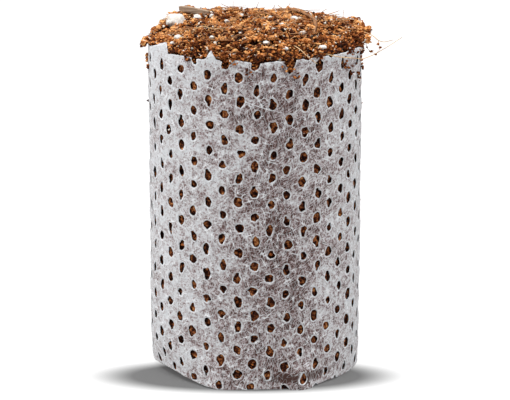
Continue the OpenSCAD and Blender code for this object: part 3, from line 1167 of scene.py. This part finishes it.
# %% [markdown]
# ## The husk chip
# A splinter of coconut shell lies at the back: a flat bar, split along its grain. A
# cube is stretched, cut across by `subdivide_edges`, and its rings are narrowed towards
# the broken ends. Split wood has sharp edges, so its faces stay flat too.

# %% Husk chip
CHIP_TURN = math.radians(-12)
CHIP_TILT = 0.14
CHIP_HALF_L = 4.2 * MM
CHIP_W = 2.5 * MM


def chip_mesh():
    low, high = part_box("husk_chip")
    middle = (low + high) / 2
    bm = bmesh.new()
    bar = Matrix.Diagonal((2 * CHIP_HALF_L, CHIP_W, high.z - low.z, 1))
    bmesh.ops.create_cube(bm, size=1, matrix=bar)
    for axis, cuts in ((0, 24), (1, 9)):
        edges = [e for e in bm.edges if abs(e.verts[0].co[axis] - e.verts[1].co[axis]) > MM]
        bmesh.ops.subdivide_edges(bm, edges=edges, cuts=cuts, use_grid_fill=True)
    for vert in bm.verts:
        along = vert.co.x / CHIP_HALF_L
        taper = 1 - 0.55 * max(0, abs(along) - 0.6) ** 1.2
        split = wave((vert.co.x * 0.25, vert.co.y, vert.co.z), 0.7 * MM, 91) * 0.22 * MM
        ragged = wave((0, vert.co.y, vert.co.z), 0.6 * MM, 92) * 0.7 * MM * abs(along) ** 6
        vert.co = (vert.co.x + ragged, vert.co.y * taper, vert.co.z * taper + split)
    turn = Matrix.Rotation(CHIP_TURN, 4, "Z")
    pose = Matrix.Translation(middle) @ turn @ Matrix.Rotation(CHIP_TILT, 4, "Y")
    bmesh.ops.transform(bm, matrix=pose, verts=bm.verts)
    return bm


def grainy_material(name, scale, turn, *stops):
    """Wood or husk, whose grain runs along one direction in plan."""
    material, tree, shader = new_material(name)
    along = stretched(tree, coordinates(tree, "Object"), scale, turn)
    grain = grain_texture(tree, along, 1, 4, 0.65)
    finish_shader(tree, shader, colours(tree, grain, *stops), 0.7, grain, 0.2 * MM)
    return material


husk_wood = grainy_material("husk_wood", (180, 2600, 2600), CHIP_TURN, (0.3, (0.10, 0.055, 0.03)),
                            (0.5, (0.34, 0.23, 0.15)), (0.7, (0.54, 0.41, 0.30)))
make_piece("husk_splinter", chip_mesh(), husk_wood, "husk_wood", "husk_chip", smooth=False)

# %% [markdown]
# ## The husk strip
# A flat ribbon of husk lies in a bow over the heap. Its cross-section is a row of edges
# that `bridge_loops` joins to the next one along the route, and `solidify` thickens it.
# The route is three places in degrees round and millimetres out.

# %% Husk strip
STRIP_ROUTE = ((162, 22.5), (105, 20.2), (45, 22.6))
STRIP_W = 1 * MM
STRIP_T = 0.3 * MM
STRIP_CURL = 0.35 * MM
STRIP_STEPS = 30


def bow(places, steps):
    """Points along a smooth bow that starts, aims and ends at three places in plan."""
    a, b, c = (round_pot(degrees, radius * MM, 0) for degrees, radius in places)
    shares = [k / steps for k in range(steps + 1)]
    return [a * (1 - t) ** 2 + b * 2 * t * (1 - t) + c * t ** 2 for t in shares]


def strip_mesh():
    bm = bmesh.new()
    route = bow(STRIP_ROUTE, STRIP_STEPS)
    previous = None
    for k, place in enumerate(route):
        t = k / STRIP_STEPS
        ahead = route[min(k + 1, STRIP_STEPS)] - route[max(k - 1, 0)]
        half_w = STRIP_W * (0.5 - 0.28 * abs(2 * t - 1) ** 3)
        side = Vector((-ahead.y, ahead.x, 0)).normalized() * half_w
        lift = (1.2 + 0.5 * math.sin(t * 3.4)) * MM
        base = Vector((place.x, place.y, heap_height(place) + lift))
        row = [bm.verts.new(base + side * s - Vector((0, 0, STRIP_CURL * s * s)))
               for s in (-1, -0.5, 0, 0.5, 1)]
        edges = [bm.edges.new(pair) for pair in zip(row, row[1:])]
        if previous:
            bmesh.ops.bridge_loops(bm, edges=previous + edges)
        previous = edges
    bmesh.ops.recalc_face_normals(bm, faces=bm.faces[:])
    bmesh.ops.solidify(bm, geom=bm.faces[:], thickness=STRIP_T)
    return bm


dry_husk = grainy_material("dry_husk", (200, 3000, 800), 1.75, (0.3, (0.13, 0.05, 0.018)),
                           (0.55, (0.32, 0.145, 0.055)), (0.75, (0.52, 0.28, 0.12)))
make_piece("husk_ribbon", strip_mesh(), dry_husk, "husk_strip", "husk_strip")

# %% [markdown]
# ## Coir fibres
# Single fibres lie on the crumbs or stand out past the rim. Each is a Bezier spline of a
# curve object, with handles that Blender sets. The bevel is a metre deep, so that a
# point's radius is the fibre's own radius.

# %% Fibre helpers
def fibre_material(name, dark, pale):
    material, tree, shader = new_material(name)
    tone = grain_texture(tree, coordinates(tree, "Object"), 300, 2)
    plug_in(tree, shader.inputs["Base Color"], colours(tree, tone, (0.35, dark), (0.65, pale)))
    shader.inputs["Roughness"].default_value = 0.45
    return material


def make_fibres(name, material, *nodes):
    curve = bpy.data.curves.new(name, "CURVE")
    curve.dimensions = "3D"
    curve.bevel_depth = 1
    curve.bevel_resolution = 1
    curve.use_fill_caps = True
    curve.materials.append(material)
    enter(bpy.data.objects.new(name, curve), nodes)
    return curve


def add_fibre(curve, points, thickness, steps):
    spline = curve.splines.new("BEZIER")
    spline.resolution_u = steps
    spline.bezier_points.add(len(points) - 1)
    for k, (point, place) in enumerate(zip(spline.bezier_points, points)):
        point.co = place
        point.handle_left_type = point.handle_right_type = "AUTO"
        point.radius = thickness / 2 * (1 - 0.5 * k / (len(points) - 1))


print("helpers: fibre_material, make_fibres, add_fibre")

# %% [markdown]
# The long ones run through places given as degrees round from the front, a share of the
# sleeve's radius and a height over the rim. Each starts in the heap. Three run out over
# the rim, and the others lie on top, so they are kept above the crumbs.

# %% Long fibres
FIBRES = (
    ((32, 0.75, 3.6), (40, 0.99, 0.9), (58, 1.06, -1.4), (76, 1.09, -2.6), (80, 1.22, -0.6),
     (83, 1.38, 2.4)),
    ((94, 0.86, 3.9), (87, 1.08, 2.6), (84, 1.19, 0.9), (86, 1.29, 1.2)),
    ((24, 0.77, 3.9), (25, 0.92, 2.8), (28, 1.03, 0.6), (33, 1.03, -1.4)),
    ((94, 0.66, 4.4), (91, 0.8, 6.4), (90, 0.95, 6.6)),
    ((27, 0.48, 5), (61, 0.42, 7.2), (90, 0.45, 7)),
    ((-59, 0.72, 4.4), (-50, 0.66, 6.6), (-37, 0.61, 6.3), (-25, 0.55, 5.6)),
    ((-115, 0.86, 3.3), (-105, 0.91, 5.4), (-94, 0.92, 4.2)),
)
FIBRE_D = 0.3 * MM


def fibre_points(places):
    points = [round_pot(degrees, share * sleeve_r, sleeve_h + height * MM)
              for degrees, share, height in places]
    for point in points:
        if point.xy.length < 0.96 * sleeve_r:
            point.z = max(point.z, heap_height(point) + 0.9 * MM)
    points[0].z = heap_height(points[0]) - 0.6 * MM
    return points


coir = fibre_material("coir_fibre", (0.40, 0.20, 0.07), (0.68, 0.46, 0.24))
strands = make_fibres("coir_strands", coir, "coir_fibres")
for places in FIBRES:
    add_fibre(strands, fibre_points(places), FIBRE_D, 6)
print(f"{len(strands.splines)} long fibres")

# %% [markdown]
# Hundreds of short hairs poke out of the heap as well. They catch the light and make
# the crumbs read as coir and not as gravel. A hair that would end past the heap is
# turned back.

# %% Short hairs
HAIRS = 450
HANGING_D = 0.18 * MM

fine_coir = fibre_material("coir_hair", (0.22, 0.075, 0.022), (0.58, 0.28, 0.10))
hairs = make_fibres("coir_hairs", fine_coir)
for hair in HANGING:
    add_fibre(hairs, [over_rim(*point) for point in hair], HANGING_D, 6)
chance = random.Random(95)
for _ in range(HAIRS):
    start = round_pot(chance.uniform(-180, 180), (heap_r - MM) * math.sqrt(chance.random()), 0)
    start.z = heap_height(start) + chance.uniform(0.4, 1.3) * MM
    way = any_way(chance, 0.15).normalized()
    bend = any_way(chance, 0.15) * 0.35
    length, thick = chance.uniform(1.5, 5) * MM, chance.uniform(0.16, 0.3) * MM
    if (start + (way + bend) * length).xy.length > heap_r:
        length = -length
    add_fibre(hairs, [start + way * length * t + bend * length * t * t for t in (0, 0.5, 1)], thick, 3)
print(f"{len(hairs.splines)} short hairs")

# %% [markdown]
# ## The table
# A plain white table, lit like the pot, so that it keeps the pot's shadow. For camera
# rays it is a dark grey that also glows: hardly at all in an oval round the pot's foot,
# which is a painted shadow that the real shadow darkens further, and more further off,
# which takes it up to white where no shadow falls.

# %% Table
SHADOW_MIDDLE = (-2.5 * MM, -16.5 * MM, 0)
SHADOW_HALF_W = 38 * MM
SHADOW_HALF_D = 14 * MM
SHADOW_FADE = (0.76, 1.3)
TABLE_GREY = (0.6, 0.6, 0.6)
SHADED_GREY = (0.092, 0.092, 0.092)
SHADE_GLOW = 0.065
TABLE_HALF_W = 4


def table_material():
    material, tree, shader = new_material("white_table")
    seen = add_node(tree, "LightPath", "Is Camera Ray", {})
    plug_in(tree, shader.inputs["Base Color"], mix_colour(tree, seen, TABLE_GREY, SHADED_GREY))
    shader.inputs["Roughness"].default_value = 0.9
    oval = stretched(tree, coordinates(tree, "Object"), (1 / SHADOW_HALF_W, 1 / SHADOW_HALF_D, 1))
    away = add_node(tree, "VectorMath", "Value", {0: oval}, operation="LENGTH")
    # painted shadow: the oval round the foot keeps the glow low
    far = soft_mask(tree, away, *SHADOW_FADE)
    strength = sums(tree, "MULTIPLY", seen, sums(tree, "MAXIMUM", far, SHADE_GLOW))
    glow = add_node(tree, "Emission", "Emission", {"Strength": strength})
    both = add_node(tree, "AddShader", "Shader", {0: shader.outputs["BSDF"], 1: glow})
    tree.links.new(both, tree.nodes["Material Output"].inputs["Surface"])
    return material


table_mesh = bmesh.new()
bmesh.ops.create_grid(table_mesh, x_segments=1, y_segments=1, size=TABLE_HALF_W)
floor = new_object("table", table_mesh, table_material(), smooth=False)
floor.location = SHADOW_MIDDLE
bpy.context.collection.objects.link(floor)

# %% [markdown]
# ## Light
# Two soft boxes at the sides leave the front of the sleeve a little darker than its
# edges, and a third from above lights the heap. A pale world fills the shadows.

# %% Lights
BOX_DISTANCE = 0.8
BOX_SIZE = 0.5
BOX_AIM = sleeve_h * 0.55
WORLD_LIGHT = 0.42


def softbox(name, degrees, elevation, power):
    light = bpy.data.lights.new(name, "AREA")
    light.shape = "DISK"
    light.size = BOX_SIZE
    light.energy = power
    lamp = bpy.data.objects.new(name, light)
    bpy.context.collection.objects.link(lamp)
    tilt = math.radians(elevation)
    away = round_pot(degrees, math.cos(tilt), math.sin(tilt))
    lamp.location = Vector((0, 0, BOX_AIM)) + away * BOX_DISTANCE
    lamp.rotation_euler = (-away).to_track_quat("-Z", "Y").to_euler()
    print(f"{name}: {power} W")


softbox("left_box", -95, 28, 3.1)
softbox("right_box", 98, 28, 2.6)
softbox("top_box", -15, 72, 6.8)
world = bpy.data.worlds.new("studio")
world.use_nodes = True
sky = world.node_tree.nodes["Background"]
sky.inputs["Color"].default_value = (1, 1, 1, 1)
sky.inputs["Strength"].default_value = WORLD_LIGHT
bpy.context.scene.world = world
